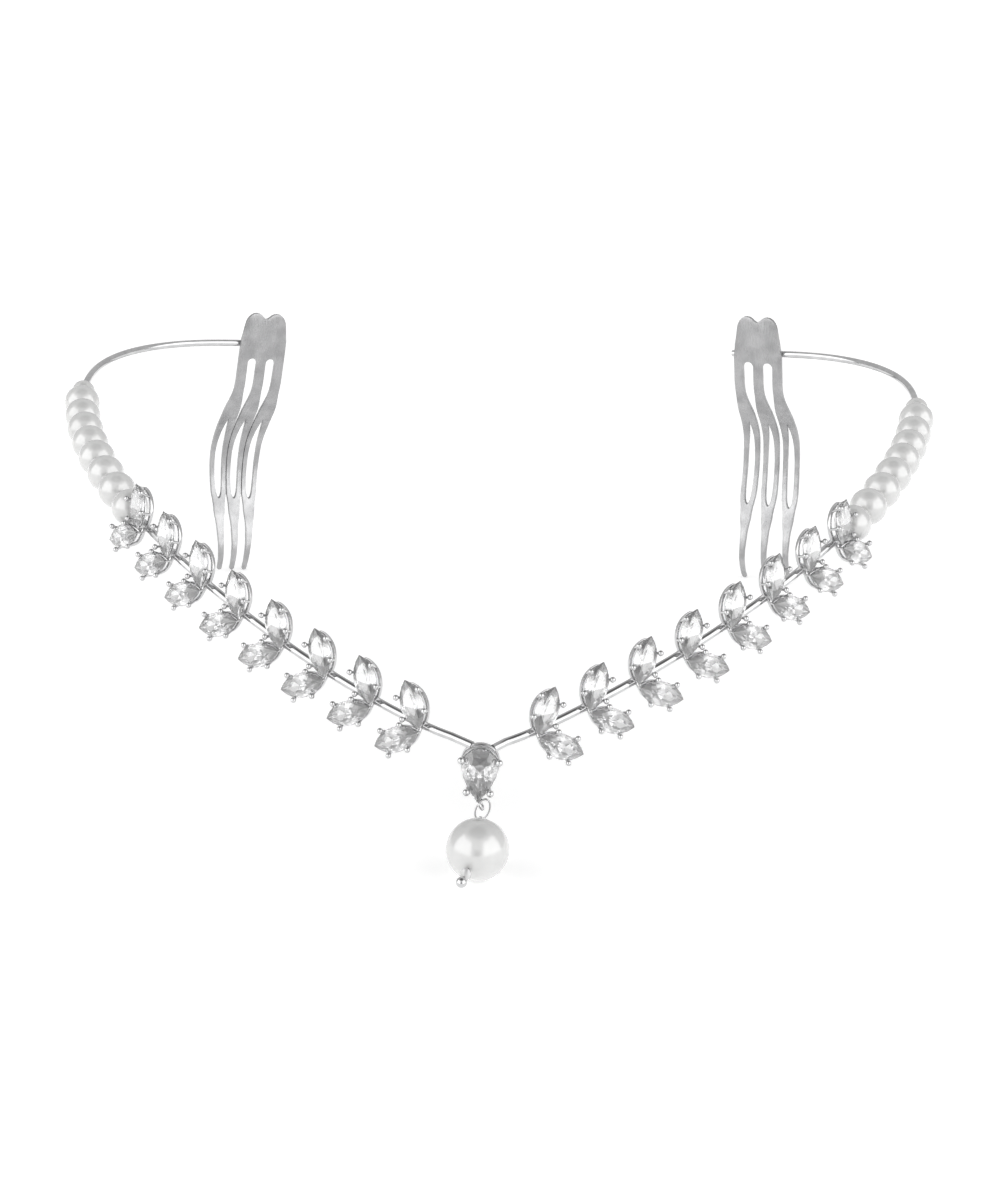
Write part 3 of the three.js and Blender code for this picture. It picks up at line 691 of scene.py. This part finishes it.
# Length of a comb that lets the lowest corner of its tips stand on the table
def combLength(bend):
    lean, splay = math.radians(bend["lean"]), math.radians(bend["splay"])
    fall = wirePlace(bend["at"], bend["side"]).z + (bend["kick"] - comb["thickness"]) * math.sin(lean)
    corner = (bend["tipPitch"] + comb["tipWidth"] / 4) * math.sin(splay)
    return (fall / math.cos(lean) - corner) / math.cos(splay) - bend["below"]


# Smooth value at a height between (height, value) stops that run down from the top
def atHeight(stops, height):
    for (upper, upperValue), (lower, lowerValue) in zip(stops, stops[1:]):
        if height >= lower:
            t = (height - upper) / (lower - upper)
            return upperValue + (lowerValue - upperValue) * t * t * (3 - 2 * t)
    return stops[-1][1]


def toothMiddle(bend, tooth, height):
    stops = [*zip(pitchHeights, bend["pitches"]), (-combLength(bend), bend["tipPitch"])]
    return tooth * atHeight(stops, height)


# How far the comb's outer face stands away from its flat plate
def combBow(bend, length, height):
    if height > comb["bowStart"]:
        return 0.0
    if height > bend["bowHeight"]:
        toTop = (comb["bowStart"] - height) / (comb["bowStart"] - bend["bowHeight"])
        return bend["bow"] * math.sin(math.pi / 2 * toTop) ** 2
    toTip = (bend["bowHeight"] - height) / (length + bend["bowHeight"])
    kicked = max(0, 1 - (length + height) / comb["kickLength"])
    return bend["bow"] * math.cos(math.pi / 2 * toTip) ** 2 + bend["kick"] * kicked**2


# Teeth from the left shoulder to the right one with round tips and gaps, then the two lobes
def combOutline(bend):
    length = combLength(bend)
    pitch = bend["pitches"][0]
    half, gap = pitch + neckWidth / 2, (pitch - neckWidth) / 2
    tipRadius = comb["tipWidth"] / 2
    widths = [*toothWidths, (-length, comb["tipWidth"])]
    top = crotch - gap - comb["gapDepth"]
    count = round((top + length - tipRadius) / comb["heightStep"])
    heights = [top + (tipRadius - length - top) * i / count for i in range(count + 1)]
    outline = [(-half, 0)]
    for tooth in (-1, 0, 1):
        edges = {-1: [], 1: []}
        for h in heights:
            width = min(atHeight(widths, h), toothMiddle(bend, 1, h) - comb["slot"])
            for side in (-1, 1):
                edges[side].append((toothMiddle(bend, tooth, h) + side * width / 2, h))
        outline += edges[-1]
        for i in range(1, comb["tipBends"]):
            angle = math.pi * (1 + i / comb["tipBends"])
            tip = toothMiddle(bend, tooth, tipRadius - length)
            height = tipRadius - length + tipRadius * math.sin(angle)
            outline.append((tip + tipRadius * math.cos(angle), height))
        outline += edges[1][::-1]
        for i in range(comb["gapBends"] + 1 if tooth < 1 else 0):
            angle = math.pi * (1 - i / comb["gapBends"])
            middle = (tooth + 0.5) * pitch
            outline.append((middle + gap * math.cos(angle), crotch + gap * (math.sin(angle) - 1)))
    outline.append((half, 0))
    return outline + plateHalf + [(0, comb["notch"])] + [(-x, y) for x, y in plateHalf[::-1]]


def slitOutline(bend, tooth):
    right = [(toothMiddle(bend, tooth, h) + half, h) for h, half in slitHalfWidths]
    left = [(toothMiddle(bend, tooth, h) - half, h) for h, half in slitHalfWidths[1:-1]]
    return right + left[::-1]


# Flat plate with soft rims, cut across in narrow steps and then bent
def combMesh(bend):
    length = combLength(bend)
    bm = bmesh.new()
    addOutline(bm, combOutline(bend))
    for tooth in (-1, 0, 1):
        addOutline(bm, slitOutline(bend, tooth))
    bmesh.ops.triangle_fill(bm, use_beauty=True, use_dissolve=False, edges=bm.edges[:])
    bmesh.ops.recalc_face_normals(bm, faces=bm.faces[:])
    if sum(face.normal.z for face in bm.faces) < 0:
        bmesh.ops.reverse_faces(bm, faces=bm.faces[:])
    bmesh.ops.solidify(bm, geom=bm.faces[:], thickness=comb["thickness"])
    rims = sharpEdges(bm, comb["rimAngle"])
    rims = [e for e in rims if abs(e.verts[0].co.z - e.verts[1].co.z) < comb["thickness"] / 2]
    bmesh.ops.bevel(
        bm, geom=rims, offset=comb["edge"], offset_type="OFFSET", affect="EDGES", segments=2, profile=0.5,
        material=-1)
    height = comb["bowStart"]
    while height > -length:
        flat = bm.verts[:] + bm.edges[:] + bm.faces[:]
        bmesh.ops.bisect_plane(bm, geom=flat, plane_co=(0, height, 0), plane_no=(0, 1, 0))
        height -= comb["bendStep"]
    for vert in bm.verts:
        vert.co.z += combBow(bend, length, vert.co.y)
    return bm


def placedComb(bend):
    bm = combMesh(bend)
    place, back, out, _ = onWire(bend["at"])
    level = Vector((out.x, out.y, 0)).normalized()
    across = Vector((back.x, back.y, 0)).normalized()
    basis = Matrix((across, level.cross(across), level)).transposed().to_4x4()
    seat = Matrix.Translation(place - level * (wire["radius"] + comb["gap"]))
    turn = Matrix.Rotation(-math.radians(bend["lean"]), 4, "X")
    turn = turn @ Matrix.Rotation(-math.radians(bend["splay"]), 4, "Z")
    turn = turn @ Matrix.Translation((0, -bend["below"], 0))
    bmesh.ops.transform(bm, matrix=seat @ basis @ turn, verts=bm.verts[:])
    if bend["side"] < 0:
        bmesh.ops.scale(bm, vec=(-1, 1, 1), verts=bm.verts[:])
    return bm


for bend in combs:
    name = bend["name"]
    keepPiece(
        f"{name}_hair_comb", placedComb(bend), combSilver, [f"{name}_comb"],
        smooth=smoothMetal)
print("combs made")


# Studio


floorLook = {"size": 6.0, "colour": (0.93, 0.93, 0.93, 1), "roughness": 0.9, "specular": 0.1, "glow": 0.32}
tent = {  # light from all round, brighter from two panels, dark overhead and round the camera
    "level": 0.6,
    "patches": [
        {"x": (-2, 2), "y": (-2, -0.1), "z": (0.3, 2), "soft": 0.08, "level": 0.75},
        {"x": (-2, -0.36), "y": (-2, 0.1), "z": (-2, 0.75), "soft": 0.06, "level": 2.0},
        {"x": (0.36, 2), "y": (-2, 0.1), "z": (-2, 0.75), "soft": 0.06, "level": 2.0},
        {"x": (-0.16, 0.16), "y": (-2, -0.5), "z": (-2, 0.36), "soft": 0.05, "level": 0.12},
        {"x": (-2, 2), "y": (-2, 2), "z": (0.89, 2), "soft": 0.04, "level": 0.14},
    ],
}


def studioFloor():
    floorMesh = bmesh.new()
    bmesh.ops.create_grid(floorMesh, x_segments=1, y_segments=1, size=floorLook["size"])
    mesh = bpy.data.meshes.new("floor")
    floorMesh.to_mesh(mesh)
    floorMesh.free()
    floor = bpy.data.objects.new("floor", mesh)
    bpy.context.scene.collection.objects.link(floor)
    material, _, _, shader, _ = newMaterial("floor_white")
    shader.inputs["Base Color"].default_value = floorLook["colour"]
    shader.inputs["Roughness"].default_value = floorLook["roughness"]
    shader.inputs["Specular IOR Level"].default_value = floorLook["specular"]
    shader.inputs["Emission Color"].default_value = (1, 1, 1, 1)
    shader.inputs["Emission Strength"].default_value = floorLook["glow"]
    mesh.materials.append(material)


def mathNode(nodes, links, operation, first, second):
    node = nodes.new("ShaderNodeMath")
    node.operation = operation
    links.new(first, node.inputs[0])
    links.new(second, node.inputs[1])
    return node.outputs["Value"]


# Value from one level to another, fading over soft on both sides of a limit
def fade(nodes, links, value, limit, soft, before, after):
    node = nodes.new("ShaderNodeMapRange")
    node.interpolation_type = "SMOOTHSTEP"
    node.inputs["From Min"].default_value = limit - soft
    node.inputs["From Max"].default_value = limit + soft
    node.inputs["To Min"].default_value = before
    node.inputs["To Max"].default_value = after
    links.new(value, node.inputs["Value"])
    return node.outputs["Result"]


def tentLight():
    world = bpy.data.worlds.new("studio")
    world.use_nodes = True
    bpy.context.scene.world = world
    nodes, links = world.node_tree.nodes, world.node_tree.links
    background = nodes["Background"]
    parts = nodes.new("ShaderNodeSeparateXYZ")
    links.new(nodes.new("ShaderNodeTexCoord").outputs["Generated"], parts.inputs["Vector"])
    level = nodes.new("ShaderNodeValue").outputs["Value"]
    level.default_value = tent["level"]
    for patch in tent["patches"]:
        mask = None
        for axis in ("x", "y", "z"):
            low, high = patch[axis]
            value = parts.outputs[axis.upper()]
            inside = mathNode(
                nodes, links, "MULTIPLY", fade(nodes, links, value, low, patch["soft"], 0.0, 1.0),
                fade(nodes, links, value, high, patch["soft"], 1.0, 0.0))
            mask = mathNode(nodes, links, "MULTIPLY", mask, inside) if mask else inside
        mix = nodes.new("ShaderNodeMix")
        mix.inputs["B"].default_value = patch["level"]
        links.new(mask, mix.inputs["Factor"])
        links.new(level, mix.inputs["A"])
        level = mix.outputs["Result"]
    links.new(level, background.inputs["Strength"])
    background.inputs["Color"].default_value = (1, 1, 1, 1)


view = {
    "azimuth": 1.22, "elevation": 18.25, "distance": 300.3, "right": 2.73, "up": 20.97, "roll": 0.93,
    "lens": 64.7, "sensor": 36.0, "clip": (0.01, 50.0),
}


def photoCamera():
    azimuth, elevation, roll = (math.radians(view[key]) for key in ("azimuth", "elevation", "roll"))
    level = Vector((math.sin(azimuth), -math.cos(azimuth), 0))
    back = level * math.cos(elevation) + Vector((0, 0, math.sin(elevation)))
    right = Vector((math.cos(azimuth), math.sin(azimuth), 0))
    up = back.cross(right)
    place = routePoints[0] + back * view["distance"] + right * view["right"] + up * view["up"]
    across = right * math.cos(roll) + up * math.sin(roll)
    upright = up * math.cos(roll) - right * math.sin(roll)
    data = bpy.data.cameras.new("photo_camera")
    data.lens = view["lens"]
    data.sensor_width = view["sensor"]
    data.clip_start, data.clip_end = view["clip"]
    camera = bpy.data.objects.new("photo_camera", data)
    bpy.context.scene.collection.objects.link(camera)
    turn = Matrix((across, upright, back)).transposed().to_4x4()
    camera.matrix_world = Matrix.Translation(place * toMetres) @ turn
    bpy.context.scene.camera = camera


studioFloor()
tentLight()
photoCamera()
bpy.context.scene.view_settings.view_transform = "Standard"
print("studio made")
